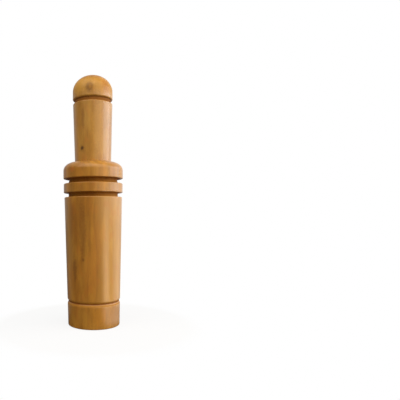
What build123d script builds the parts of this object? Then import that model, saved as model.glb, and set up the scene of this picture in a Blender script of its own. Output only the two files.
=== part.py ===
from build123d import *

import os
from math import radians, tan

# A turned wooden bird call, standing on its foot and centred on the Z axis, in millimetres.
# A push-in mouthpiece closes the barrel, and a brass reed on a wooden plug sits in the mouthpiece.

# Reed unit: a half-round trough and a flat reed, wedged together in a hollow plug
REED_HOLE_DIAMETER = 6.0
PLUG_WALL = 1.7
PLUG_LENGTH = 14.0
PLUG_LEAD = 0.5
FLANGE_THICKNESS = 3.0
FLANGE_CUT = 0.5
TROUGH_WALL = 0.8
TROUGH_NOSE_LENGTH = 0.8
TROUGH_NOSE_RADIUS = 1.2
FACING_ANGLE = 2.6
REED_WIDTH = 5.2
REED_THICKNESS = 0.3
REED_TIP_RADIUS = 1.6
TONGUE_LENGTH = 22.0
TONGUE_LAP = 0.7
HEEL_INSET = 0.6
WEDGE_GRIP = 4.0
WEDGE_CUT = 0.4

# Mouthpiece: a tenon with a cork sleeve, a flared neck, a lip groove and a domed head
TENON_WALL = 1.7
TENON_LENGTH = 20.0
TENON_COLLAR = 3.0
TENON_CUT = 0.6
CORK_THICKNESS = 1.0
CORK_LENGTH = 12.0
CORK_CUT = 0.25
CHAMBER_ROOM = 5.0
DRILL_POINT_ANGLE = 118.0
NECK_ABOVE_CHAMBER = 6.4
NECK_LEDGE = 1.3
NECK_FLARE = 0.78
LIP_GROOVE_WIDTH = 1.9
LIP_GROOVE_DEPTH = 0.8
HEAD_STEP = 0.12
HEAD_BAND_HEIGHT = 4.1
HEAD_BAND_TAPER = 0.05
DOME_HEIGHT = 8.0
BLOW_HOLE_DIAMETER = 6.0
BLOW_HOLE_SINK_DIAMETER = 8.6
BLOW_HOLE_SINK_ANGLE = 90.0

# Barrel: a tapered body between a V-grooved foot band and a ring, under a rounded shoulder
FOOT_BAND_HEIGHT = 10.6
FOOT_CUT = 0.3
FOOT_GROOVE_WIDTH = 1.9
FOOT_GROOVE_DEPTH = 0.7
FOOT_GROOVE_SLOPE_SHARE = 0.66
BODY_HEIGHT = 49.0
BODY_TAPER = 1.57
BODY_DROP = 0.45
LOWER_GROOVE_WIDTH = 2.1
LOWER_GROOVE_DEPTH = 2.05
RING_HEIGHT = 4.45
RING_DROP = 0.15
UPPER_GROOVE_WIDTH = 2.35
UPPER_GROOVE_DEPTH = 2.25
UPPER_GROOVE_SLOPE = 0.6
SHOULDER_HEIGHT = 4.0
CROWN_HEIGHT = 4.05
CROWN_REACH = 5.66
SOCKET_ROOM = 5.0
SOCKET_STEP = 0.5
SOCKET_LEAD = 0.3
BELL_CUT = 1.2

# Eased lips of the turned grooves, and their cut-off inner corners as a share of width and depth
LIP_CUT = 0.3
CORNER_SHARE = 0.35

# Clearances, each on the radius or on one side
GLUE_GAP = 0.02
CORK_FIT = 0.03
PLUG_FIT = 0.05
WEDGE_FIT = 0.05
TENON_FIT = 0.15
FLANGE_FIT = 0.75

# Radii, stacked from the reed hole out to the shoulder
reed_hole_radius = REED_HOLE_DIAMETER / 2
plug_radius = reed_hole_radius + PLUG_WALL
chamber_radius = plug_radius + PLUG_FIT
cork_seat_radius = chamber_radius + TENON_WALL
cork_inner_radius = cork_seat_radius + GLUE_GAP
cork_outer_radius = cork_inner_radius + CORK_THICKNESS
socket_radius = cork_outer_radius + CORK_FIT
tenon_radius = socket_radius - TENON_FIT
bell_radius = socket_radius - SOCKET_STEP
flange_radius = bell_radius - FLANGE_FIT
neck_base_radius = socket_radius + NECK_LEDGE
neck_top_radius = neck_base_radius + NECK_FLARE
lip_groove_radius = neck_top_radius - LIP_GROOVE_DEPTH
head_radius = neck_top_radius + HEAD_STEP
dome_radius = head_radius - HEAD_BAND_TAPER
shoulder_radius = neck_base_radius + CROWN_REACH
ring_radius = shoulder_radius - RING_DROP
body_top_radius = shoulder_radius - BODY_DROP
foot_radius = body_top_radius - BODY_TAPER
trough_radius = reed_hole_radius - GLUE_GAP
channel_radius = trough_radius - TROUGH_WALL
wedge_radius = reed_hole_radius - WEDGE_FIT

# Levels up the barrel
foot_groove_bottom = FOOT_BAND_HEIGHT
foot_groove_top = foot_groove_bottom + FOOT_GROOVE_WIDTH
foot_groove_deepest = foot_groove_bottom + FOOT_GROOVE_SLOPE_SHARE * FOOT_GROOVE_WIDTH
body_top = foot_groove_top + BODY_HEIGHT
ring_bottom = body_top + LOWER_GROOVE_WIDTH
ring_top = ring_bottom + RING_HEIGHT
shoulder_bottom = ring_top + UPPER_GROOVE_WIDTH
crown_bottom = shoulder_bottom + SHOULDER_HEIGHT
seat = crown_bottom + CROWN_HEIGHT

# Levels of the reed unit, which hangs from the end of the tenon
tenon_end = seat - TENON_LENGTH
flange_bottom = tenon_end - FLANGE_THICKNESS
clamp_line = tenon_end + PLUG_LENGTH
tongue_tip = clamp_line + TONGUE_LENGTH
channel_end = tongue_tip - TONGUE_LAP
trough_end = tongue_tip + TROUGH_NOSE_LENGTH
wedge_bottom = flange_bottom - WEDGE_GRIP
socket_floor = wedge_bottom - SOCKET_ROOM

# Levels up the mouthpiece
cork_top = seat - TENON_COLLAR
cork_bottom = cork_top - CORK_LENGTH
chamber_top = trough_end + CHAMBER_ROOM
neck_top = chamber_top + NECK_ABOVE_CHAMBER
head_bottom = neck_top + LIP_GROOVE_WIDTH
dome_bottom = head_bottom + HEAD_BAND_HEIGHT
dome_top = dome_bottom + DOME_HEIGHT


def body_radius(level):
    """Radius of the straight taper from the foot to the top of the body."""
    return foot_radius + BODY_TAPER * level / body_top


def groove_outline(levels, lips, floors):
    """Outline of a turned groove, from the lip below it to the lip above; each pair is below, above."""
    bottom, top = levels
    lip_below, lip_above = lips
    floor_below, floor_above = floors
    corner_height = CORNER_SHARE * (top - bottom)
    return [
        (lip_below, bottom - LIP_CUT),
        (lip_below - LIP_CUT, bottom),
        (floor_below + CORNER_SHARE * (lip_below - floor_below), bottom),
        (floor_below, bottom + corner_height),
        (floor_above, top - corner_height),
        (floor_above + CORNER_SHARE * (lip_above - floor_above), top),
        (lip_above - LIP_CUT, top),
        (lip_above, top + LIP_CUT),
    ]


# Barrel: one turned billet, bored as a bell from below and as a socket from above
with BuildPart() as barrel:
    foot_floor = body_radius(foot_groove_deepest) - FOOT_GROOVE_DEPTH
    lower_floor = body_top_radius - LOWER_GROOVE_DEPTH
    upper_floor = ring_radius - UPPER_GROOVE_DEPTH
    with BuildSketch(Plane.XZ):
        with BuildLine():
            Polyline(
                (0, 0),
                (foot_radius - FOOT_CUT, 0),
                (foot_radius, FOOT_CUT),
                (body_radius(foot_groove_bottom), foot_groove_bottom),
                (foot_floor, foot_groove_deepest),
                (body_radius(foot_groove_top), foot_groove_top),
                *groove_outline(
                    (body_top, ring_bottom),
                    (body_top_radius, ring_radius),
                    (lower_floor, lower_floor),
                ),
                *groove_outline(
                    (ring_top, shoulder_bottom),
                    (ring_radius, shoulder_radius),
                    (upper_floor, upper_floor - UPPER_GROOVE_SLOPE),
                ),
                (shoulder_radius, crown_bottom),
            )
            crown = EllipticalCenterArc(
                (neck_base_radius, crown_bottom), CROWN_REACH, CROWN_HEIGHT, arc_size=90
            )
            Polyline(crown @ 1, (0, seat), (0, 0))
        make_face()
    revolve(axis=Axis.Z)
    with Locations((0, 0, seat)):
        CounterBoreHole(bell_radius, socket_radius, seat - socket_floor)
    chamfer(barrel.edges().group_by(Axis.Z)[0].sort_by(SortBy.RADIUS)[0], BELL_CUT)
    chamfer(barrel.edges().group_by(Axis.Z)[-1].sort_by(SortBy.RADIUS)[0], SOCKET_LEAD)

# Mouthpiece: turned with its tenon, drilled from the tenon for the reed and from the dome to blow
with BuildPart() as mouthpiece:
    with BuildSketch(Plane.XZ):
        with BuildLine():
            side = Polyline(
                (0, tenon_end),
                (tenon_radius - TENON_CUT, tenon_end),
                (tenon_radius, tenon_end + TENON_CUT),
                (tenon_radius, cork_bottom),
                (cork_seat_radius, cork_bottom),
                (cork_seat_radius, cork_top),
                (tenon_radius, cork_top),
                (tenon_radius, seat),
                (neck_base_radius, seat),
                *groove_outline(
                    (neck_top, head_bottom),
                    (neck_top_radius, head_radius),
                    (lip_groove_radius, lip_groove_radius),
                ),
                (dome_radius, dome_bottom),
            )
            dome = EllipticalCenterArc((0, dome_bottom), dome_radius, DOME_HEIGHT, arc_size=90)
            Line(dome @ 1, side @ 0)
        make_face()
    revolve(axis=Axis.Z)
    drill_point = chamber_radius / tan(radians(DRILL_POINT_ANGLE / 2))
    with BuildSketch(Plane.XZ):
        with BuildLine():
            Polyline(
                (0, tenon_end),
                (chamber_radius, tenon_end),
                (chamber_radius, chamber_top),
                (0, chamber_top + drill_point),
                close=True,
            )
        make_face()
    revolve(axis=Axis.Z, mode=Mode.SUBTRACT)
    with Locations((0, 0, dome_top)):
        CounterSinkHole(
            BLOW_HOLE_DIAMETER / 2,
            BLOW_HOLE_SINK_DIAMETER / 2,
            counter_sink_angle=BLOW_HOLE_SINK_ANGLE,
        )

# Cork sleeve: glued into the recess of the tenon, and a push fit in the socket
with BuildPart() as tenon_cork:
    with BuildSketch(Plane.XY.offset(cork_bottom + GLUE_GAP)):
        Circle(cork_outer_radius)
        Circle(cork_inner_radius, mode=Mode.SUBTRACT)
    extrude(amount=CORK_LENGTH - 2 * GLUE_GAP)
    outer_rims = tenon_cork.edges().filter_by(GeomType.CIRCLE).sort_by(SortBy.RADIUS)[-2:]
    chamfer(outer_rims, CORK_CUT)

# Reed plug: a hollow wooden plug, pushed into the chamber up to its flange
with BuildPart() as reed_plug:
    with BuildSketch(Plane.XY.offset(tenon_end)):
        Circle(plug_radius)
    extrude(amount=PLUG_LENGTH)
    chamfer(reed_plug.edges().group_by(Axis.Z)[-1], PLUG_LEAD)
    with BuildSketch(Plane.XY.offset(flange_bottom)):
        Circle(flange_radius)
    extrude(amount=FLANGE_THICKNESS)
    chamfer(reed_plug.edges().group_by(Axis.Z)[0], FLANGE_CUT)
    with Locations((0, 0, clamp_line)):
        Hole(reed_hole_radius)

# Reed trough: half a brass tube, closed and rounded at the tip, whose rails fall away from the reed
with BuildPart() as reed_trough:
    with BuildSketch(Plane.XY.offset(flange_bottom)):
        Circle(trough_radius)
    extrude(amount=trough_end - flange_bottom)
    fillet(reed_trough.edges().group_by(Axis.Z)[-1], TROUGH_NOSE_RADIUS)
    with BuildSketch(Plane.XY.offset(flange_bottom)):
        Circle(channel_radius)
    extrude(amount=channel_end - flange_bottom, mode=Mode.SUBTRACT)
    facing_drop = (trough_end - clamp_line) * tan(radians(FACING_ANGLE))
    with BuildSketch(Plane.YZ):
        with BuildLine():
            Polyline(
                (0, flange_bottom),
                (0, clamp_line),
                (-facing_drop, trough_end),
                (plug_radius, trough_end),
                (plug_radius, flange_bottom),
                close=True,
            )
        make_face()
    extrude(amount=plug_radius, both=True, mode=Mode.SUBTRACT)

# Reed heel: the clamped end of the brass strip, flat on the rails inside the plug
with BuildPart() as reed_heel:
    heel_bottom = flange_bottom + HEEL_INSET
    with BuildSketch(Plane.XY.offset(heel_bottom)):
        Rectangle(REED_WIDTH, REED_THICKNESS, align=(Align.CENTER, Align.MIN))
    extrude(amount=clamp_line - heel_bottom)

# Reed tongue: the free end of the same strip, which beats on the rails from the clamp line up
with BuildPart() as reed_tongue:
    with BuildSketch(Plane.XZ) as tongue_outline:
        with Locations((0, clamp_line)):
            Rectangle(REED_WIDTH, TONGUE_LENGTH, align=(Align.CENTER, Align.MIN))
        fillet(tongue_outline.vertices().group_by(Axis.Y)[-1], REED_TIP_RADIUS)
    extrude(amount=-REED_THICKNESS)

# Reed wedge: a half-round peg that clamps the heel, left proud of the flange as a grip
with BuildPart() as reed_wedge:
    with BuildSketch(Plane.XY.offset(wedge_bottom)):
        Circle(wedge_radius)
        with Locations((0, REED_THICKNESS + WEDGE_FIT)):
            Rectangle(
                2 * reed_hole_radius,
                2 * reed_hole_radius,
                align=(Align.CENTER, Align.MAX),
                mode=Mode.SUBTRACT,
            )
    extrude(amount=clamp_line - wedge_bottom)
    chamfer(reed_wedge.edges().group_by(Axis.Z)[0], WEDGE_CUT)
    chamfer(reed_wedge.edges().group_by(Axis.Z)[-1], WEDGE_CUT)

pieces = {
    "barrel": barrel,
    "mouthpiece": mouthpiece,
    "tenon_cork": tenon_cork,
    "reed_plug": reed_plug,
    "reed_trough": reed_trough,
    "reed_heel": reed_heel,
    "reed_tongue": reed_tongue,
    "reed_wedge": reed_wedge,
}
os.makedirs("parts", exist_ok=True)
for name, piece in pieces.items():
    piece.part.label = name
    export_step(piece.part, f"parts/{name}.step")
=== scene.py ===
import math

import bmesh
import bpy
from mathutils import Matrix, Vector, noise


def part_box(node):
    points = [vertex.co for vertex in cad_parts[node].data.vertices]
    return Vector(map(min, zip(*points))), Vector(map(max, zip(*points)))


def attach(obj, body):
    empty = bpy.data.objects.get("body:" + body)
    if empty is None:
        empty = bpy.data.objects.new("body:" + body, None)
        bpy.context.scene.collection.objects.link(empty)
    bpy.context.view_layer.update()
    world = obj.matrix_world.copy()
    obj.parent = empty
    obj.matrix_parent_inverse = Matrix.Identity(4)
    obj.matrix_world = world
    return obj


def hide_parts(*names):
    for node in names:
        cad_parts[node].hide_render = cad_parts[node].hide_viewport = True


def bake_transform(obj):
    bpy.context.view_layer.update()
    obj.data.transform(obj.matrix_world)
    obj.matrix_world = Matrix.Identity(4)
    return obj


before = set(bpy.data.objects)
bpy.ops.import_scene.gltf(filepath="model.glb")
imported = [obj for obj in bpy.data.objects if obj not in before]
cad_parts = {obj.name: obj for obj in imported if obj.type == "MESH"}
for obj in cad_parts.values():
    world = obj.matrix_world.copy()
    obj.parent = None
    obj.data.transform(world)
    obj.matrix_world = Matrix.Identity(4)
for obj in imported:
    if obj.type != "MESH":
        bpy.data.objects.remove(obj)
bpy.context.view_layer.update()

# Barrel: one billet of close-grained honey-coloured hardwood, turned between centres, bored as a bell from
# the foot and as a socket from the top. A V is cut at the foot with a skew chisel, two grooves and a ring
# with a parting tool. The lips are eased by sanding, and the outside is rubbed with a satin varnish.
MM = 0.001
barrel_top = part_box("barrel")[1] / MM
seat = barrel_top.z
foot_radius = 12.44
foot_rounding = 0.4
foot_groove = (10.6, 12.5)
foot_groove_deepest = 11.85
foot_groove_depth = 0.7
foot_groove_easing = 0.55
foot_groove_floor_easing = 0.175
body_top = 61.5
body_top_radius = 14.01
body_taper = (body_top_radius - foot_radius) / body_top
lower_groove_depth = 2.05
ring = (63.6, 68.05)
ring_radius = 14.31
upper_groove_depth = 2.25
upper_groove_slope = 0.6
groove_rounding = 0.8
lip_rounding = 0.35
shoulder_bottom = 70.4
shoulder_radius = min(barrel_top.x, barrel_top.y)
crown_bottom = 74.4
crown_reach = 5.66
bell_radius = 7.0
bell_rounding = 1.2
socket_radius = 7.5
socket_floor = 46.45
bore_rounding = 0.3
step_rounding = 0.15

TURN_STEPS = 144
EASE_STEPS = 6
BOW_STEPS = 22
SUPPORT = 0.12
SHORTEST_SUPPORTED = 0.6
LONGEST_RUN = 4.0
WELD = 0.0001
MARK_MARGIN = 1.0
LIP_MARGIN = 0.6


def body_radius(level):
    """Radius of the straight taper from the foot to the top of the body, in millimetres."""
    return foot_radius + body_taper * level


def cut_run(run, start, places):
    """Cuts a straight run of an outline at the given places, in order from its start."""
    for place in places:
        start = bmesh.utils.edge_split(run, start, 0.5)[1]
        start.co = place


def support_run(run, longest):
    """Cuts a long run close to both its ends, so that its eased corners shade crisply, and evenly between."""
    start = run.verts[0]
    first = start.co.copy()
    along = run.verts[1].co - first
    length = along.length
    inner = length - 2 * SUPPORT
    spans = max(1, math.ceil(inner / longest))
    distances = [SUPPORT + inner * span / spans for span in range(spans + 1)]
    cut_run(run, start, [first + along * distance / length for distance in distances])


def turned_shape(outline, bow=None, closed=True, longest=LONGEST_RUN):
    """Spins an outline of (radius, height, easing) corners round the axis of the call, in millimetres.
    bow is (corner, centre, rise): the run that leaves that corner swells as part of an ellipse."""
    shape = bmesh.new()
    corners = [shape.verts.new((radius, 0, height)) for radius, height, _ in outline]
    pairs = list(zip(corners, corners[1:]))
    if closed:
        pairs.append((corners[-1], corners[0]))
    runs = [shape.edges.new(pair) for pair in pairs]
    if bow:
        index, centre, rise = bow
        start, end = corners[index].co.copy(), corners[index + 1].co.copy()
        reach = start.x - centre
        sweep = math.acos((end.x - centre) / reach)
        angles = [sweep * step / BOW_STEPS for step in range(1, BOW_STEPS)]
        places = [
            Vector((centre + reach * math.cos(angle), 0, start.z + rise * math.sin(angle)))
            for angle in angles
        ]
        cut_run(runs[index], corners[index], places)
    for corner, (_, _, easing) in zip(corners, outline):
        if easing:
            bmesh.ops.bevel(
                shape, geom=[corner], offset=easing, offset_type="OFFSET", segments=EASE_STEPS,
                profile=0.5, affect="VERTICES", material=-1,
            )
    for run in [edge for edge in shape.edges if edge.calc_length() > SHORTEST_SUPPORTED]:
        support_run(run, longest)
    bmesh.ops.spin(
        shape, geom=shape.verts[:] + shape.edges[:], axis=(0, 0, 1), cent=(0, 0, 0),
        angle=math.tau, steps=TURN_STEPS, use_merge=True,
    )
    bmesh.ops.remove_doubles(shape, verts=shape.verts, dist=WELD)
    return shape


def finished_piece(shape, name, material):
    """Makes a shape in millimetres a smooth piece in metres, with its place in its mesh."""
    bmesh.ops.remove_doubles(shape, verts=shape.verts, dist=WELD)
    bmesh.ops.recalc_face_normals(shape, faces=shape.faces)
    bmesh.ops.scale(shape, vec=(MM, MM, MM), verts=shape.verts)
    mesh = bpy.data.meshes.new(name)
    shape.to_mesh(mesh)
    shape.free()
    mesh.shade_smooth()
    mesh.materials.append(material)
    piece = bpy.data.objects.new(name, mesh)
    bpy.context.scene.collection.objects.link(piece)
    return piece


def paint(red, green, blue):
    """A colour as a paint card gives it, from 0 to 255, in the linear light that shaders take."""
    shares = [channel / 255 for channel in (red, green, blue)]
    linear = [s / 12.92 if s <= 0.04045 else ((s + 0.055) / 1.055) ** 2.4 for s in shares]
    return (*linear, 1.0)


def set_sockets(tree, node, sockets):
    """Sets a node's inputs, or links those that are given another node's output."""
    for socket, value in sockets.items():
        if isinstance(value, bpy.types.NodeSocket):
            tree.links.new(value, node.inputs[socket])
        else:
            node.inputs[socket].default_value = value


def add_node(tree, kind, sockets=None, **settings):
    """Adds a shader node with its settings and its inputs."""
    node = tree.nodes.new("ShaderNode" + kind)
    for setting, value in settings.items():
        setattr(node, setting, value)
    set_sockets(tree, node, sockets or {})
    return node


def reckon(tree, operation, *values):
    """The output of a Math node."""
    return add_node(tree, "Math", dict(enumerate(values)), operation=operation).outputs[0]


def vector(tree, operation, *values):
    """The output of a Vector Math node."""
    return add_node(tree, "VectorMath", dict(enumerate(values)), operation=operation).outputs[0]


def length_of(tree, value):
    """The length of a vector."""
    return add_node(tree, "VectorMath", {0: value}, operation="LENGTH").outputs["Value"]


def parts_of(tree, value):
    """The X, Y and Z of a vector."""
    return add_node(tree, "SeparateXYZ", {0: value}).outputs


def from_axis(tree, point):
    """How far a point lies from the upright axis."""
    return length_of(tree, vector(tree, "MULTIPLY", point, (1, 1, 0)))


def between(tree, share, at_none, at_full):
    """A number that goes from at_none to at_full as a share goes from 0 to 1."""
    return reckon(tree, "MULTIPLY_ADD", share, at_full - at_none, at_none)


def rising(tree, value, low, high):
    """A soft step from 0 at low to 1 at high, or the other way round where high is the smaller."""
    sockets = {"Value": value, "From Min": low, "From Max": high}
    return add_node(tree, "MapRange", sockets, interpolation_type="SMOOTHSTEP").outputs[0]


def band(tree, value, rise, fall):
    """1 where a value lies between two soft edges, each given as where it is 0 and where it is 1."""
    return reckon(tree, "MULTIPLY", rising(tree, value, *rise), rising(tree, value, *fall))


def tint(tree, factor, under, over, share=1.0):
    """One colour laid over another by a factor, of which a share is used."""
    if share != 1.0:
        factor = reckon(tree, "MULTIPLY", factor, share)
    return add_node(tree, "Mix", {0: factor, 6: under, 7: over}, data_type="RGBA").outputs[2]


def cloud(tree, point, stretch, detail=3.0, roughness=0.5):
    """Noise whose grain is 1 / stretch millimetres along each axis."""
    placed = add_node(tree, "Mapping", {"Vector": point, "Scale": stretch}).outputs[0]
    sockets = {"Vector": placed, "Scale": 1.0, "Detail": detail, "Roughness": roughness}
    return add_node(tree, "TexNoise", sockets).outputs[0]


def new_group(name, inputs, outputs):
    """An empty shader node group with named sockets, and its two end nodes."""
    group = bpy.data.node_groups.new(name, "ShaderNodeTree")
    for socket, kind in inputs.items():
        group.interface.new_socket(socket, in_out="INPUT", socket_type="NodeSocket" + kind)
    for socket in outputs:
        group.interface.new_socket(socket, in_out="OUTPUT", socket_type="NodeSocketFloat")
    return group, group.nodes.new("NodeGroupInput").outputs, group.nodes.new("NodeGroupOutput").inputs


def use_group(tree, group, sockets):
    """Places a shader node group in a tree, and gives its outputs."""
    return add_node(tree, "Group", sockets, node_tree=group).outputs


def new_material(name):
    """A material with an empty Principled shader, and the point on its piece in millimetres."""
    material = bpy.data.materials.new(name)
    material.use_nodes = True
    tree = material.node_tree
    shader = tree.nodes["Principled BSDF"]
    where = add_node(tree, "TexCoord").outputs["Object"]
    point = add_node(tree, "Mapping", {"Vector": where, "Scale": (1 / MM,) * 3}).outputs[0]
    return material, tree, shader, point


def rough_up(tree, shader, height, strength, distance):
    """Raises a surface by a height; distance is in millimetres."""
    sockets = {"Height": height, "Strength": strength, "Distance": distance * MM}
    bump = add_node(tree, "Bump", sockets)
    tree.links.new(bump.outputs[0], shader.inputs["Normal"])


def wood_figure():
    """Solid wood: yearly rings round a pith that lies off the turning axis, streaks, fibres and pores.
    The stretches are marks to a millimetre, far fewer up the grain than across it."""
    drift_stretch = (0.06, 0.06, 0.016)
    streak_stretch = (0.42, 0.42, 0.03)
    fibre_stretch = (4.5, 4.5, 0.16)
    pore_stretch = (8.0, 8.0, 0.6)
    mottle_stretch = (0.2, 0.2, 0.07)
    blush_stretch = (0.33, 0.33, 0.2)
    streak_edge = (0.42, 0.72)
    pore_edge = (0.63, 0.74)
    inputs = {"Point": "Vector", "Pith": "Vector", "Ring Width": "Float", "Wander": "Float"}
    outputs = ["Rings", "Streaks", "Fibre", "Pores", "Mottle", "Blush"]
    group, given, made = new_group("wood_figure", inputs, outputs)
    point = given["Point"]
    slow = add_node(group, "Mapping", {"Vector": point, "Scale": drift_stretch}).outputs[0]
    drift = add_node(group, "TexNoise", {"Vector": slow, "Scale": 1.0, "Detail": 2.0}).outputs["Color"]
    centred = vector(group, "SUBTRACT", drift, (0.5, 0.5, 0.5))
    wandered = add_node(group, "VectorMath", {0: centred, "Scale": given["Wander"]}, operation="SCALE")
    moved = vector(group, "ADD", point, wandered.outputs[0])
    from_pith = from_axis(group, vector(group, "SUBTRACT", moved, given["Pith"]))
    year = reckon(group, "FRACT", reckon(group, "DIVIDE", from_pith, given["Ring Width"]))
    group.links.new(band(group, year, rise=(0.15, 0.85), fall=(1.0, 0.9)), made["Rings"])
    streaks = cloud(group, moved, streak_stretch)
    group.links.new(rising(group, streaks, *streak_edge), made["Streaks"])
    group.links.new(cloud(group, moved, fibre_stretch, detail=4.0, roughness=0.6), made["Fibre"])
    pores = cloud(group, moved, pore_stretch, detail=1.0)
    group.links.new(rising(group, pores, *pore_edge), made["Pores"])
    group.links.new(cloud(group, point, mottle_stretch), made["Mottle"])
    group.links.new(cloud(group, point, blush_stretch, detail=2.0), made["Blush"])
    return group


def lathe_marks():
    """How far a point lies under the straight side of a turned piece: eased lips first, then groove floors.
    Tool is the fine scoring round the axis that a turning tool leaves."""
    floor_start = 0.3
    scores_per_mm = 3.2
    inputs = {"Point": "Vector"}
    inputs.update({name: "Float" for name in ("Radius", "Taper", "Low", "High", "Full Depth")})
    group, given, made = new_group("lathe_marks", inputs, ["Lips", "Floors", "Tool"])
    level = parts_of(group, given["Point"])["Z"]
    side = reckon(group, "MULTIPLY_ADD", level, given["Taper"], given["Radius"])
    depth = reckon(group, "SUBTRACT", side, from_axis(group, given["Point"]))
    above = reckon(group, "GREATER_THAN", level, given["Low"])
    below = reckon(group, "LESS_THAN", level, given["High"])
    here = reckon(group, "MULTIPLY", above, below)
    lip = band(group, depth, rise=(0.02, 0.12), fall=(0.45, 0.2))
    group.links.new(reckon(group, "MULTIPLY", lip, here), made["Lips"])
    floor = rising(group, depth, floor_start, given["Full Depth"])
    group.links.new(reckon(group, "MULTIPLY", floor, here), made["Floors"])
    sockets = {"W": level, "Scale": scores_per_mm, "Detail": 2.0}
    group.links.new(add_node(group, "TexNoise", sockets, noise_dimensions="1D").outputs[0], made["Tool"])
    return group


def blemish():
    """A soft-edged oval spot in the wood, such as a pin knot or a mineral streak."""
    waves_per_mm = 1.1
    waviness = 0.9
    soft_edge = (1.0, 0.35)
    inputs = {"Point": "Vector", "Centre": "Vector", "Reach": "Vector"}
    group, given, made = new_group("blemish", inputs, ["Spot"])
    sockets = {"Vector": given["Point"], "Scale": waves_per_mm, "Detail": 2.0}
    wobble = reckon(group, "SUBTRACT", add_node(group, "TexNoise", sockets).outputs[0], 0.5)
    offset = vector(group, "SUBTRACT", given["Point"], given["Centre"])
    distance = length_of(group, vector(group, "DIVIDE", offset, given["Reach"]))
    uneven = reckon(group, "MULTIPLY_ADD", wobble, waviness, distance)
    group.links.new(rising(group, uneven, *soft_edge), made["Spot"])
    return group


wood_figure_group = wood_figure()
lathe_marks_group = lathe_marks()
blemish_group = blemish()


def with_blemishes(tree, point, colour, blemishes):
    """A colour with blemishes laid over it, each of them (centre, reach, colour, share)."""
    for centre, reach, stain, share in blemishes:
        spot = use_group(tree, blemish_group, {"Point": point, "Centre": centre, "Reach": reach})["Spot"]
        colour = tint(tree, spot, colour, stain, share)
    return colour


def wood_colour(tree, point, pith, ring_width, wander, pale, warm, deep, figured=1.0):
    """The colour of plain wood, with the outputs of its figure; figured is how plainly the figure shows."""
    mottle_edge = (0.35, 0.65)
    fibre_edge = (0.45, 0.75)
    end_grain_slope = (0.6, 0.98)
    sockets = {"Point": point, "Pith": pith, "Ring Width": ring_width, "Wander": wander}
    figure = use_group(tree, wood_figure_group, sockets)
    colour = tint(tree, rising(tree, figure["Mottle"], *mottle_edge), pale, warm)
    colour = tint(tree, figure["Rings"], colour, deep, share=0.16 * figured)
    colour = tint(tree, figure["Streaks"], colour, deep, share=0.34 * figured)
    colour = tint(tree, rising(tree, figure["Fibre"], *fibre_edge), colour, deep, share=0.2)
    colour = tint(tree, figure["Pores"], colour, deep, share=0.3)
    upright = parts_of(tree, add_node(tree, "NewGeometry").outputs["Normal"])["Z"]
    end_on = rising(tree, reckon(tree, "ABSOLUTE", upright), *end_grain_slope)
    end_grain = reckon(tree, "MULTIPLY", end_on, figure["Rings"])
    return tint(tree, end_grain, colour, deep, share=0.4), figure


def blush(tree, figure, colour, ember, share):
    """A colour that reddens here and there."""
    blush_edge = (0.52, 0.68)
    return tint(tree, rising(tree, figure["Blush"], *blush_edge), colour, ember, share)


def bore_mask(tree, point, radius, top):
    """1 on the walls of a bore of that radius up to its top, and 0 outside it."""
    at_wall = 0.2
    clear_of_wall = 0.6
    within = rising(tree, from_axis(tree, point), radius + clear_of_wall, radius + at_wall)
    below = reckon(tree, "LESS_THAN", parts_of(tree, point)["Z"], top)
    return reckon(tree, "MULTIPLY", within, below)


def varnish(tree, shader, point, figure, marks, bare, thirsty):
    """Satin varnish over the fibres and tool marks. It was not rubbed on where the wood is bare, it was
    sanded off the lips, and end grain is thirsty and drank it; thirsty is (low, high, share) up the piece."""
    sanded_share = 0.85
    smooth, fibrous = 0.4, 0.6
    duller_if_dry = 0.2
    pore_sink = -0.8
    score_height = 0.7
    low, high, drunk_share = thirsty
    drunk = reckon(tree, "MULTIPLY", rising(tree, parts_of(tree, point)["Z"], low, high), drunk_share)
    sanded = reckon(tree, "MULTIPLY", marks["Lips"], sanded_share)
    unvarnished = reckon(tree, "MAXIMUM", reckon(tree, "MAXIMUM", bare, marks["Floors"]), sanded)
    unvarnished = reckon(tree, "MAXIMUM", unvarnished, drunk)
    dull = between(tree, figure["Fibre"], smooth, fibrous)
    set_sockets(tree, shader, {
        "Roughness": reckon(tree, "MULTIPLY_ADD", unvarnished, duller_if_dry, dull),
        "Specular IOR Level": 0.15,
        "Coat Weight": between(tree, unvarnished, 1.0, 0.0),
        "Coat Roughness": 0.3,
        "Coat IOR": 1.6,
    })
    grain = reckon(tree, "MULTIPLY_ADD", figure["Pores"], pore_sink, figure["Fibre"])
    height = reckon(tree, "MULTIPLY_ADD", marks["Tool"], score_height, grain)
    rough_up(tree, shader, height, strength=0.25, distance=0.03)


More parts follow.
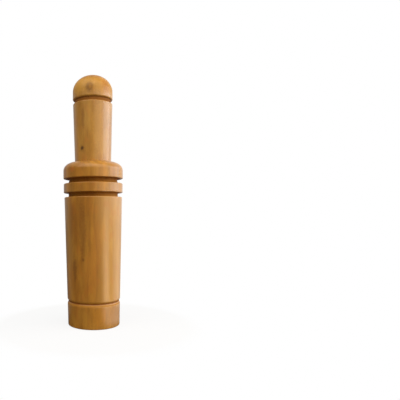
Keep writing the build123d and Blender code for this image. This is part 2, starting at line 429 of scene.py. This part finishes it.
def barrel_wood():
    """Varnished honey-coloured wood: dark mineral streaks, stain and painted shade in the grooves, painted
    shade in the bores, painted light on the right side.
    """
    pale, warm, deep = paint(194, 133, 37), paint(175, 113, 23), paint(118, 68, 11)
    groove_stain_and_shade, wear_and_highlight_gold, ember = paint(130, 70, 20), paint(208, 152, 76), paint(196, 106, 30)
    lit_side_gold, amber, foot_brown = paint(216, 162, 72), paint(210, 138, 32), paint(168, 112, 40)
    shaded_side_olive = paint(166, 120, 34)
    lit_side_edge = (-2.0, 8.0)
    lit_side_wander = 6.0
    lit_side_off_body = 0.45
    blemishes = [
        ((-5.0, -12.6, 46), (2.6, 2.6, 17), deep, 0.42),
        ((-8.7, -9.9, 27.5), (1.5, 1.5, 7.5), deep, 0.55),
        ((-4.8, -12.3, 32.3), (0.9, 0.9, 1.2), deep, 0.6),
        ((-9.4, -10.7, 66), (2.0, 2.0, 5.0), deep, 0.35),
        ((-8.9, -11.2, 72), (2.4, 2.4, 3.4), deep, 0.3),
        # Painted shade: an olive cast over the shaded left side of the body.
        ((-12.4, -5.5, 44), (5.0, 6.0, 26), shaded_side_olive, 0.4),
        ((-9.6, -10.4, 74.2), (2.2, 2.2, 1.8), ember, 0.5),
        ((1.5, -13.2, 40), (3.6, 2.6, 15), ember, 0.14),
        ((-1.2, -12.8, 26), (4.5, 3.0, 14), ember, 0.16),
        ((4.4, -13.4, 71), (3.6, 3.0, 10), amber, 0.42),
        ((-6.3, -12.6, 72), (3.6, 3.0, 7), amber, 0.38),
        ((2.6, -12.6, 6), (4.0, 3.0, 7), amber, 0.34),
        # Painted highlight: a pale patch on the left of the crown.
        ((-8.5, -9.5, 77), (4.0, 4.0, 2.6), wear_and_highlight_gold, 0.5),
        ((9.6, -8.0, 5), (5.4, 5.4, 9), foot_brown, 0.75),
    ]
    material, tree, shader, point = new_material("barrel_wood")
    colour, figure = wood_colour(
        tree, point, pith=(21, 34, 0), ring_width=2.3, wander=9.0, pale=pale, warm=warm, deep=deep
    )
    place = parts_of(tree, point)
    # Painted light: the right side, which faces the windows, is painted a paler gold, and less so on the
    # foot, ring and shoulder.
    mottle = reckon(tree, "SUBTRACT", figure["Mottle"], 0.5)
    across = reckon(tree, "MULTIPLY_ADD", mottle, lit_side_wander, place["X"])
    under_ring = rising(tree, place["Z"], ring[0], body_top)
    over_foot = rising(tree, place["Z"], foot_groove[0] - 2 * MARK_MARGIN, foot_groove[1])
    on_body = between(tree, reckon(tree, "MULTIPLY", under_ring, over_foot), lit_side_off_body, 1.0)
    lit_side = reckon(tree, "MULTIPLY", rising(tree, across, *lit_side_edge), on_body)
    colour = tint(tree, lit_side, colour, lit_side_gold, share=0.48)
    colour = blush(tree, figure, colour, ember, share=0.16)
    colour = with_blemishes(tree, point, colour, blemishes)
    sockets = {
        "Point": point, "Radius": foot_radius, "Taper": body_taper,
        "Low": foot_groove[0] - MARK_MARGIN, "High": shoulder_bottom + LIP_MARGIN, "Full Depth": 1.3,
    }
    marks = use_group(tree, lathe_marks_group, sockets)
    # Paler lips: sanded wood, and a painted highlight along the eased edges.
    colour = tint(tree, marks["Lips"], colour, wear_and_highlight_gold, share=0.3)
    # Darker groove floors: stain that settled there, and painted shade.
    colour = tint(tree, marks["Floors"], colour, groove_stain_and_shade, share=0.55)
    # Painted shade, with a little settled stain: the foot groove is painted darker in its deepest part, under
    # the lip above it.
    sockets.update({"High": foot_groove[1] + MARK_MARGIN, "Full Depth": 0.6})
    foot_marks = use_group(tree, lathe_marks_group, sockets)
    colour = tint(tree, foot_marks["Floors"], colour, groove_stain_and_shade, share=0.8)
    colour = tint(tree, foot_marks["Lips"], colour, warm, share=0.6)
    bare = bore_mask(tree, point, socket_radius, seat)
    # Painted shade: the socket and the bell are painted darker inside.
    colour = tint(tree, bare, colour, deep, share=0.5)
    tree.links.new(colour, shader.inputs["Base Color"])
    dry = reckon(tree, "MAXIMUM", bare, foot_marks["Floors"])
    varnish(tree, shader, point, figure, marks, dry, thirsty=(ring[0], shoulder_bottom, 0.2))
    return material


foot_floor = body_radius(foot_groove_deepest) - foot_groove_depth
lower_floor = body_top_radius - lower_groove_depth
upper_floor = ring_radius - upper_groove_depth
crown_start = (shoulder_radius, crown_bottom, 0)
barrel_outline = [
    (bell_radius, 0, bell_rounding),
    (foot_radius, 0, foot_rounding),
    (body_radius(foot_groove[0]), foot_groove[0], foot_groove_easing),
    (foot_floor, foot_groove_deepest, foot_groove_floor_easing),
    (body_radius(foot_groove[1]), foot_groove[1], foot_groove_easing),
    (body_top_radius, body_top, lip_rounding),
    (lower_floor, body_top, groove_rounding),
    (lower_floor, ring[0], groove_rounding),
    (ring_radius, ring[0], lip_rounding),
    (ring_radius, ring[1], lip_rounding),
    (upper_floor, ring[1], groove_rounding),
    (upper_floor - upper_groove_slope, shoulder_bottom, groove_rounding),
    (shoulder_radius, shoulder_bottom, lip_rounding),
    crown_start,
    (shoulder_radius - crown_reach, seat, 0),
    (socket_radius, seat, bore_rounding),
    (socket_radius, socket_floor, bore_rounding),
    (bell_radius, socket_floor, step_rounding),
]
crown = (barrel_outline.index(crown_start), shoulder_radius - crown_reach, seat - crown_bottom)
barrel = finished_piece(turned_shape(barrel_outline, bow=crown), "turned_barrel", barrel_wood())
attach(barrel, "barrel")
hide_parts("barrel")

# Mouthpiece: a second, slightly paler billet of the same wood, turned in one piece from the tenon to the
# dome, drilled from the tenon for the reed and from the dome to blow. It pushes into the barrel on its cork.
mouthpiece_low, mouthpiece_high = (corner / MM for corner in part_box("mouthpiece"))
tenon_end = mouthpiece_low.z
tenon_radius = 7.35
tenon_rounding = 0.6
cork_recess = (63.45, 75.45)
cork_seat_radius = 6.45
recess_rounding = 0.1
neck_base_radius = 8.8
neck_base_rounding = 0.15
neck_top = 106.65
neck_top_radius = 9.58
neck_flare = (neck_top_radius - neck_base_radius) / (neck_top - seat)
lip_groove_radius = 8.78
lip_groove_rounding = 0.6
head_groove_rounding = 0.22
head_bottom = 108.55
head_radius = min(mouthpiece_high.x, mouthpiece_high.y)
head_lip_rounding = 0.62
dome_bottom = 112.65
dome_radius = 9.65
dome_rise = 8.0
rim_radius = 3.7
rim_rounding = 0.5
blow_hole_radius = 3.0
chamber_radius = 4.75
chamber_top = 100.25
drill_point = 1.05


def mouthpiece_wood():
    """The same varnished wood, paler, with a pin knot on the neck, an oval knot on the dome and painted shade
    on its top.
    """
    pale, warm, deep = paint(204, 148, 57), paint(187, 129, 41), paint(136, 84, 23)
    groove_stain_and_shade, wear_and_highlight_gold, ember = paint(144, 88, 30), paint(214, 164, 92), paint(204, 122, 44)
    knot_brown, knot_rim, dome_gold = paint(78, 46, 14), paint(118, 72, 22), paint(216, 158, 66)
    neck_gold, dome_top_shade = paint(214, 154, 50), paint(156, 94, 28)
    blemishes = [
        ((-4.6, -8.1, 98.3), (1.2, 1.2, 7.0), deep, 0.4),
        ((-5.4, -7.1, 84.2), (2.4, 2.4, 2.8), deep, 0.25),
        ((-5.1, -7.35, 84.4), (1.3, 1.3, 1.35), knot_brown, 0.8),
        # Painted shade: the top of the dome is painted darker.
        ((0, -2.0, 121), (12.0, 12.0, 7.0), dome_top_shade, 0.38),
        ((6.5, -7.5, 113), (4.5, 4.5, 6.5), ember, 0.24),
        ((-7.0, -6.6, 114.5), (8.0, 6.0, 6.0), dome_gold, 0.7),
        ((2.6, -9.0, 114), (3.6, 3.0, 6.5), dome_gold, 0.42),
        ((2.0, -8.8, 94.5), (3.4, 3.0, 16), neck_gold, 0.36),
        ((-1.6, -9.45, 112.5), (2.5, 2.5, 3.0), knot_rim, 0.6),
        ((-1.15, -9.5, 112.9), (1.0, 1.0, 1.5), warm, 0.55),
    ]
    material, tree, shader, point = new_material("mouthpiece_wood")
    colour, figure = wood_colour(
        tree, point, pith=(-30, 22, 0), ring_width=2.6, wander=7.0, pale=pale, warm=warm, deep=deep,
        figured=0.55,
    )
    colour = blush(tree, figure, colour, ember, share=0.2)
    colour = with_blemishes(tree, point, colour, blemishes)
    marks = use_group(tree, lathe_marks_group, {
        "Point": point, "Radius": neck_base_radius - neck_flare * seat, "Taper": neck_flare,
        "Low": neck_top - MARK_MARGIN, "High": head_bottom + LIP_MARGIN, "Full Depth": 0.75,
    })
    # Paler lips: sanded wood, and a painted highlight along the eased edges.
    colour = tint(tree, marks["Lips"], colour, wear_and_highlight_gold, share=0.2)
    # Darker groove floor: stain that settled there, and painted shade.
    colour = tint(tree, marks["Floors"], colour, groove_stain_and_shade, share=0.95)
    in_chamber = bore_mask(tree, point, chamber_radius, chamber_top + 2 * drill_point)
    in_blow_hole = bore_mask(tree, point, blow_hole_radius, mouthpiece_high.z)
    bare = reckon(tree, "MAXIMUM", in_chamber, in_blow_hole)
    # Painted shade: the chamber and the blow hole are painted darker inside.
    colour = tint(tree, bare, colour, deep, share=0.5)
    tree.links.new(colour, shader.inputs["Base Color"])
    varnish(tree, shader, point, figure, marks, bare, thirsty=(head_bottom, dome_bottom, 0.6))
    return material


rim_level = dome_bottom + dome_rise * math.sqrt(1 - (rim_radius / dome_radius) ** 2)
dome_start = (dome_radius, dome_bottom, 0)
mouthpiece_outline = [
    (chamber_radius, tenon_end, bore_rounding),
    (tenon_radius, tenon_end, tenon_rounding),
    (tenon_radius, cork_recess[0], recess_rounding),
    (cork_seat_radius, cork_recess[0], recess_rounding),
    (cork_seat_radius, cork_recess[1], recess_rounding),
    (tenon_radius, cork_recess[1], recess_rounding),
    (tenon_radius, seat, recess_rounding),
    (neck_base_radius, seat, neck_base_rounding),
    (neck_top_radius, neck_top, lip_rounding),
    (lip_groove_radius, neck_top, lip_groove_rounding),
    (lip_groove_radius, head_bottom, head_groove_rounding),
    (head_radius, head_bottom, head_lip_rounding),
    dome_start,
    (rim_radius, rim_level, 0),
    (blow_hole_radius, rim_level - (rim_radius - blow_hole_radius), rim_rounding),
    (blow_hole_radius, chamber_top + drill_point, bore_rounding),
    (chamber_radius, chamber_top, bore_rounding),
]
dome = (mouthpiece_outline.index(dome_start), 0, dome_rise)
mouthpiece_shape = turned_shape(mouthpiece_outline, bow=dome)
mouthpiece = finished_piece(mouthpiece_shape, "turned_mouthpiece", mouthpiece_wood())
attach(mouthpiece, "mouthpiece")
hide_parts("mouthpiece")

# Cork sleeve: a strip of sheet cork, skived at both ends, wrapped into the recess of the tenon and glued,
# with one slanted scarf seam. It is sanded round and waxed, so that the tenon pushes into the socket.
cork_low, cork_high = (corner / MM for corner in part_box("tenon_cork"))
cork_middle = (cork_low.z + cork_high.z) / 2
cork_radius = min(cork_high.x, cork_high.y)
cork_inner_radius = 6.47
cork_rounding = 0.25
cork_row = 0.33
pits_per_mm = 1.5
pit_depth = 0.14
pit_threshold = 0.25
seam_bearing = 0.6
seam_slant = 0.55
seam_reach = 0.6
seam_depth = 0.1
glue_line = (0.3, 0.1)


def cork_sheet():
    """Pressed bark: pale grains, darker flecks and pits, a glue line at the scarf seam and a little wax."""
    bark, grain_brown, fleck_brown = paint(184, 138, 86), paint(152, 104, 58), paint(84, 52, 26)
    grains_per_mm = 1.6
    grain_edge = (0.2, 0.75)
    shade_stretch = (0.5, 0.5, 0.5)
    fleck_stretch = (1.5, 1.5, 0.8)
    fleck_edge = (0.58, 0.68)
    fleck_sink = 1.5
    material, tree, shader, point = new_material("waxed_cork")
    grains = add_node(tree, "TexVoronoi", {"Vector": point, "Scale": grains_per_mm}).outputs["Distance"]
    colour = tint(tree, rising(tree, grains, *grain_edge), bark, grain_brown, share=0.7)
    colour = tint(tree, cloud(tree, point, shade_stretch), colour, grain_brown, share=0.6)
    flecks = rising(tree, cloud(tree, point, fleck_stretch, detail=2.0), *fleck_edge)
    colour = tint(tree, flecks, colour, fleck_brown, share=0.75)
    place = parts_of(tree, point)
    away = reckon(tree, "MULTIPLY", place["Y"], -1.0)
    bearing = reckon(tree, "SUBTRACT", reckon(tree, "ARCTAN2", place["X"], away), seam_bearing)
    lean = reckon(tree, "MULTIPLY", reckon(tree, "SUBTRACT", place["Z"], cork_middle), seam_slant)
    across = reckon(tree, "ABSOLUTE", reckon(tree, "MULTIPLY_ADD", bearing, cork_radius, lean))
    colour = tint(tree, rising(tree, across, *glue_line), colour, fleck_brown, share=0.8)
    set_sockets(tree, shader, {
        "Base Color": colour,
        "Roughness": between(tree, flecks, 0.5, 0.75),
        "Specular IOR Level": 0.3,
    })
    relief = reckon(tree, "SUBTRACT", grains, reckon(tree, "MULTIPLY", flecks, fleck_sink))
    rough_up(tree, shader, relief, strength=0.4, distance=0.08)
    return material


cork_outline = [
    (cork_inner_radius, cork_low.z, 0),
    (cork_radius, cork_low.z, cork_rounding),
    (cork_radius, cork_high.z, cork_rounding),
    (cork_inner_radius, cork_high.z, 0),
]
cork_shape = turned_shape(cork_outline, longest=cork_row)
for vertex in cork_shape.verts:
    place = vertex.co
    radius = math.hypot(place.x, place.y)
    if radius > cork_radius - cork_rounding:
        bearing = math.atan2(place.x, -place.y)
        across = (bearing - seam_bearing) * cork_radius + (place.z - cork_middle) * seam_slant
        pressed = seam_depth * max(0.0, 1 - abs(across) / seam_reach)
        hollow = max(0.0, noise.noise(place * pits_per_mm) - pit_threshold)
        pit = pit_depth * hollow / (1 - pit_threshold)
        share = (radius - pressed - pit) / radius
        vertex.co = Vector((place.x * share, place.y * share, place.z))
cork = finished_piece(cork_shape, "cork_sleeve", cork_sheet())
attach(cork, "mouthpiece")
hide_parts("tenon_cork")

# Reed plug: a hollow plug of bare, straight-grained hardwood, turned with a flange that stops it on the end
# of the tenon. It is a push fit in the chamber and holds the trough, the reed and the wedge.
plug_low, plug_high = (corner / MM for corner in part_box("reed_plug"))
flange_radius = min(plug_high.x, plug_high.y)
flange_rounding = 0.5
flange_top_rounding = 0.3
plug_radius = 4.7
plug_corner_rounding = 0.15
plug_lead = 0.5
reed_hole_radius = 3.0
reed_hole_rounding = 0.2


def bare_wood(name, pith):
    """Unvarnished straight-grained hardwood with handling marks."""
    pale, warm, deep = paint(212, 176, 122), paint(196, 154, 98), paint(146, 100, 54)
    handled = paint(150, 112, 68)
    smudge_stretch = (0.35, 0.35, 0.35)
    smudge_edge = (0.5, 0.75)
    material, tree, shader, point = new_material(name)
    colour, figure = wood_colour(
        tree, point, pith=pith, ring_width=1.1, wander=4.0, pale=pale, warm=warm, deep=deep
    )
    smudges = rising(tree, cloud(tree, point, smudge_stretch), *smudge_edge)
    set_sockets(tree, shader, {
        "Base Color": tint(tree, smudges, colour, handled, share=0.4),
        "Roughness": between(tree, figure["Fibre"], 0.55, 0.75),
        "Specular IOR Level": 0.25,
    })
    relief = reckon(tree, "SUBTRACT", figure["Fibre"], figure["Pores"])
    rough_up(tree, shader, relief, strength=0.35, distance=0.04)
    return material


plug_outline = [
    (reed_hole_radius, plug_low.z, reed_hole_rounding),
    (flange_radius, plug_low.z, flange_rounding),
    (flange_radius, tenon_end, flange_top_rounding),
    (plug_radius, tenon_end, plug_corner_rounding),
    (plug_radius, plug_high.z, plug_lead),
    (reed_hole_radius, plug_high.z, reed_hole_rounding),
]
plug = finished_piece(turned_shape(plug_outline), "turned_reed_plug", bare_wood("plug_wood", (14, 9, 0)))
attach(plug, "reed_unit")
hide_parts("reed_plug")

# Reed trough: half a drawn brass tube with a closed, rounded tip. Its two rails are filed flat up to the
# clamp line and then fall away from the reed, so that the reed can beat on them.
trough_low, trough_high = (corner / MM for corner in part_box("reed_trough"))
trough_radius = trough_high.x
trough_wall = 0.8
channel_radius = trough_radius - trough_wall
channel_end = 93.75
channel_rounding = 0.2
nose_rounding = 1.2
clamp_line = plug_high.z
facing_angle = math.radians(2.6)
file_rounding = 0.06
FLATS_FIRST = 100


def tarnish():
    """Handled brass: dull patches where it has tarnished, and fine scratches along its length."""
    patch_stretch = (0.5, 0.5, 0.22)
    patch_edge = (0.42, 0.68)
    scratch_stretch = (14, 14, 0.25)
    group, given, made = new_group("tarnish", {"Point": "Vector"}, ["Patches", "Scratches"])
    patches = cloud(group, given["Point"], patch_stretch, detail=5.0, roughness=0.65)
    group.links.new(rising(group, patches, *patch_edge), made["Patches"])
    group.links.new(cloud(group, given["Point"], scratch_stretch), made["Scratches"])
    return group


tarnish_group = tarnish()


def handled_brass(name, bright, dull, stain):
    """Rolled or drawn brass, a little tarnished and rubbed bright where it is handled."""
    scratch_edge = (0.58, 0.72)
    material, tree, shader, point = new_material(name)
    wear = use_group(tree, tarnish_group, {"Point": point})
    colour = tint(tree, wear["Patches"], bright, dull, share=0.8)
    scratches = rising(tree, wear["Scratches"], *scratch_edge)
    set_sockets(tree, shader, {
        "Base Color": tint(tree, scratches, colour, stain, share=0.35),
        "Metallic": between(tree, wear["Patches"], 1.0, 0.75),
        "Roughness": between(tree, wear["Patches"], 0.3, 0.52),
    })
    rough_up(tree, shader, wear["Scratches"], strength=0.2, distance=0.02)
    return material


def cut_flat(shape, point, normal):
    """Cuts away what lies on the side that a plane's normal points to, and closes the cut with one face."""
    everything = shape.verts[:] + shape.edges[:] + shape.faces[:]
    cut = bmesh.ops.bisect_plane(
        shape, geom=everything, dist=WELD, plane_co=point, plane_no=normal, clear_outer=True
    )
    edges = [part for part in cut["geom_cut"] if isinstance(part, bmesh.types.BMEdge)]
    bmesh.ops.edgeloop_fill(shape, edges=edges)


def ease_edges(shape, width, steeper_than):
    """Rounds every edge where the faces meet more steeply than an angle in degrees."""
    bmesh.ops.remove_doubles(shape, verts=shape.verts, dist=WELD)
    bmesh.ops.recalc_face_normals(shape, faces=shape.faces)
    limit = math.radians(steeper_than)
    edges = [edge for edge in shape.edges if edge.is_manifold and edge.calc_face_angle() > limit]
    bmesh.ops.bevel(
        shape, geom=edges, offset=width, offset_type="OFFSET", segments=2, profile=0.5,
        affect="EDGES", clamp_overlap=True, material=-1,
    )


def keep_flats_flat(piece):
    """Weighs the shading of a piece towards its large flat faces."""
    weighted = piece.modifiers.new("flat_faces", "WEIGHTED_NORMAL")
    weighted.weight = FLATS_FIRST
    weighted.keep_sharp = True


trough_outline = [
    (0, channel_end, 0),
    (channel_radius, channel_end, channel_rounding),
    (channel_radius, trough_low.z, 0),
    (trough_radius, trough_low.z, 0),
    (trough_radius, trough_high.z, nose_rounding),
    (0, trough_high.z, 0),
]
trough_shape = turned_shape(trough_outline, closed=False)
cut_flat(trough_shape, (0, 0, 0), (0, 1, 0))
cut_flat(trough_shape, (0, 0, clamp_line), (0, math.cos(facing_angle), math.sin(facing_angle)))
ease_edges(trough_shape, file_rounding, steeper_than=45)
trough_brass = handled_brass(
    "trough_brass", bright=paint(212, 170, 92), dull=paint(158, 116, 56), stain=paint(96, 70, 36)
)
trough = finished_piece(trough_shape, "brass_trough", trough_brass)
keep_flats_flat(trough)
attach(trough, "reed_unit")
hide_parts("reed_trough")

# Reed: one strip of thin rolled brass with a rounded tip. Its heel is clamped on the rails inside the plug,
# and the free tongue bends from the clamp line up.
heel_low, heel_high = (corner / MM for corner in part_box("reed_heel"))
tongue_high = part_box("reed_tongue")[1] / MM
reed_half_width = heel_high.x
reed_heel_rounding = 0.3
reed_heel_steps = 3
reed_tip_rounding = 1.6
reed_tip_steps = 12
reed_edge_rounding = 0.05
bend_start = clamp_line - 0.5
bend_end = clamp_line + 6.0
bend_steps = 16

reed_shape = bmesh.new()
reed_corners = [
    reed_shape.verts.new((side * reed_half_width, heel_low.y, level))
    for side, level in ((-1, heel_low.z), (1, heel_low.z), (1, tongue_high.z), (-1, tongue_high.z))
]
reed_shape.faces.new(reed_corners)
for corners, rounding, steps in (
    (reed_corners[:2], reed_heel_rounding, reed_heel_steps),
    (reed_corners[2:], reed_tip_rounding, reed_tip_steps),
):
    bmesh.ops.bevel(
        reed_shape, geom=corners, offset=rounding, offset_type="OFFSET", segments=steps,
        profile=0.5, affect="VERTICES", material=-1,
    )
for step in range(bend_steps + 1):
    level = bend_start + (bend_end - bend_start) * step / bend_steps
    everything = reed_shape.verts[:] + reed_shape.edges[:] + reed_shape.faces[:]
    bmesh.ops.bisect_plane(
        reed_shape, geom=everything, dist=WELD, plane_co=(0, 0, level), plane_no=(0, 0, 1)
    )
thickened = bmesh.ops.extrude_face_region(reed_shape, geom=reed_shape.faces[:])
back_corners = [part for part in thickened["geom"] if isinstance(part, bmesh.types.BMVert)]
bmesh.ops.translate(reed_shape, verts=back_corners, vec=(0, heel_high.y - heel_low.y, 0))
ease_edges(reed_shape, reed_edge_rounding, steeper_than=60)
reed_brass = handled_brass(
    "reed_brass", bright=paint(222, 184, 108), dull=paint(176, 134, 68), stain=paint(112, 82, 40)
)
reed = finished_piece(reed_shape, "brass_reed", reed_brass)
keep_flats_flat(reed)
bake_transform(reed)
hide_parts("reed_heel", "reed_tongue")

# Reed wedge: a half-round peg split from the same bare hardwood. It is pushed in behind the heel of the reed,
# clamps it on the rails, and stands proud of the flange so that it can be gripped and drawn.
wedge_low, wedge_high = (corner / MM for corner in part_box("reed_wedge"))
wedge_radius = 2.95
wedge_rounding = 0.4
wedge_flat = wedge_low.y
wedge_edge_rounding = 0.1

wedge_outline = [
    (0, wedge_low.z, 0),
    (wedge_radius, wedge_low.z, wedge_rounding),
    (wedge_radius, wedge_high.z, wedge_rounding),
    (0, wedge_high.z, 0),
]
wedge_shape = turned_shape(wedge_outline, closed=False)
cut_flat(wedge_shape, (0, wedge_flat, 0), (0, -1, 0))
ease_edges(wedge_shape, wedge_edge_rounding, steeper_than=45)
wedge = finished_piece(wedge_shape, "split_reed_wedge", bare_wood("wedge_wood", (-9, 16, 0)))
keep_flats_flat(wedge)
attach(wedge, "reed_wedge")
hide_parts("reed_wedge")

# Floor, light and camera: the call stands on a white table in front of a white wall, with a large soft window
# to the front right, a second one to the right and a soft lamp to the upper left. The windows gleam on the
# table, which shows only where the varnish mirrors it.
CAMERA_DISTANCE = 0.202
CAMERA_HEIGHT = 0.0518
CAMERA_ROLL = 0.32
CAMERA_NEAREST = 0.01
IMAGE_SIDE = 400
SENSOR = 36.0
FOCAL_PIXELS = 414.0
AXIS_COLUMN = 93.35
HORIZON_ROW = 217.3
CALL_MIDDLE = Vector((0, 0, 0.07))
white = (1.0, 1.0, 1.0, 1.0)
seen_grey = (0.85, 0.85, 0.85, 1.0)
bounced_grey = (0.3, 0.3, 0.3, 1.0)
gleam_white = (1.0, 0.95, 0.88, 1.0)
warm_lamp = (1.0, 0.95, 0.86)
neutral_lamp = (1.0, 0.98, 0.97)
table_reach = 3000
shadow_fade = (14, 55)
glow_in_shadow = 0.84
front_gleam = 1.95
far_gleam = 1.6
far_edge = (35, 75)
close_gleam = 1.8
back_gleam = (0.12, 0.62)
back_sweep = (-60, 60)
back_edge = (0, 25)
least_gleam = 0.03
wall_light = (0.38, 1.13)
wall_sweep = (-0.5, 0.6)
wall_edge = (0.0, 0.65)
least_wall_light = 0.05
room_light = 0.36

table_shape = bmesh.new()
bmesh.ops.create_grid(table_shape, x_segments=1, y_segments=1, size=table_reach)
table_material, table, table_shader, table_point = new_material("white_table")
table.nodes.remove(table_shader)
rays = add_node(table, "LightPath").outputs
table_colour = tint(table, rays["Is Camera Ray"], bounced_grey, seen_grey)
matt = add_node(table, "BsdfDiffuse", {"Color": table_colour})
glow = add_node(table, "Emission", {"Color": white, "Strength": 1.0})
from_call = length_of(table, table_point)
fade = reckon(table, "MAXIMUM", rising(table, from_call, *shadow_fade), glow_in_shadow)
seen = reckon(table, "MULTIPLY", fade, rays["Is Camera Ray"])
place = parts_of(table, table_point)
bearing = reckon(table, "ARCTAN2", place["X"], reckon(table, "MULTIPLY", place["Y"], -1.0))
front_patch = band(table, bearing, rise=(0.6, 0.82), fall=(1.25, 1.02))
side_patch = band(table, bearing, rise=(1.3, 1.6), fall=(2.7, 1.95))
far_patches = reckon(table, "MULTIPLY_ADD", front_patch, front_gleam, side_patch)
far_off = reckon(table, "MULTIPLY", rising(table, from_call, *far_edge), far_gleam)
close_patch = band(table, bearing, rise=(0.45, 0.75), fall=(2.6, 0.9))
close_by = reckon(table, "MULTIPLY", band(table, from_call, rise=(11, 24), fall=(75, 35)), close_gleam)
close_light = reckon(table, "MULTIPLY", close_patch, close_by)
patch_light = reckon(table, "MULTIPLY_ADD", far_patches, far_off, close_light)
back_level = between(table, rising(table, place["X"], *back_sweep), *back_gleam)
back_light = reckon(table, "MULTIPLY_ADD", rising(table, place["Y"], *back_edge), back_level, least_gleam)
gleam_level = reckon(table, "MAXIMUM", patch_light, back_light)
gleam = add_node(table, "Emission", {"Color": gleam_white, "Strength": gleam_level})
mirrored_table = {0: rays["Is Glossy Ray"], 1: matt.outputs[0], 2: gleam.outputs[0]}
under_coat = add_node(table, "MixShader", mirrored_table)
top_coat = add_node(table, "MixShader", {0: seen, 1: under_coat.outputs[0], 2: glow.outputs[0]})
table.links.new(top_coat.outputs[0], table.nodes["Material Output"].inputs["Surface"])
finished_piece(table_shape, "white_table", table_material)

world = bpy.data.worlds.new("white_room")
bpy.context.scene.world = world
world.use_nodes = True
room = world.node_tree
sides = parts_of(room, add_node(room, "TexCoord").outputs["Generated"])
rays = add_node(room, "LightPath").outputs
behind = rising(room, sides["Y"], *wall_edge)
wall_level = between(room, rising(room, sides["X"], *wall_sweep), *wall_light)
mirror_level = reckon(room, "MULTIPLY_ADD", behind, wall_level, least_wall_light)
mirrored = reckon(room, "MULTIPLY", rays["Is Glossy Ray"], mirror_level)
bounced = reckon(room, "MULTIPLY", rays["Is Diffuse Ray"], room_light)
strength = reckon(room, "ADD", rays["Is Camera Ray"], reckon(room, "ADD", mirrored, bounced))
set_sockets(room, room.nodes["Background"], {"Color": white, "Strength": strength})


def soft_light(name, bearing, elevation, distance, width, height, power, colour, spread=180):
    """A soft box aimed at the middle of the call; bearing is degrees to the right of the camera's side.
    A spread under 180 degrees makes its edges dimmer than its middle."""
    lamp = bpy.data.lights.new(name, "AREA")
    lamp.spread = math.radians(spread)
    lamp.shape = "RECTANGLE"
    lamp.size, lamp.size_y = width, height
    lamp.energy = power
    lamp.color = colour
    turn, rise = math.radians(bearing), math.radians(elevation)
    aim = Vector((math.sin(turn) * math.cos(rise), -math.cos(turn) * math.cos(rise), math.sin(rise)))
    holder = bpy.data.objects.new(name, lamp)
    holder.location = CALL_MIDDLE + aim * distance
    holder.rotation_euler = aim.to_track_quat("Z", "Y").to_euler()
    bpy.context.scene.collection.objects.link(holder)


soft_light(
    "front_window", bearing=42, elevation=34, distance=0.6, width=0.9, height=0.8,
    power=1.25, colour=warm_lamp, spread=100,
)
soft_light(
    "side_window", bearing=91, elevation=15.5, distance=0.55, width=0.5, height=0.28,
    power=1.58, colour=neutral_lamp,
)
soft_light(
    "left_lamp", bearing=-35, elevation=55, distance=0.5, width=0.55, height=0.55,
    power=1.38, colour=warm_lamp,
)

camera = bpy.data.objects.new("camera", bpy.data.cameras.new("camera"))
camera.data.sensor_width = SENSOR
camera.data.lens = FOCAL_PIXELS * SENSOR / IMAGE_SIDE
camera.data.shift_x = (IMAGE_SIDE / 2 - AXIS_COLUMN) / IMAGE_SIDE
camera.data.shift_y = (HORIZON_ROW - IMAGE_SIDE / 2) / IMAGE_SIDE
camera.data.clip_start = CAMERA_NEAREST
camera.location = (0, -CAMERA_DISTANCE, CAMERA_HEIGHT)
camera.rotation_euler = (math.radians(90), math.radians(CAMERA_ROLL), 0)
bpy.context.scene.collection.objects.link(camera)
bpy.context.scene.camera = camera
bpy.context.scene.view_settings.view_transform = "Standard"
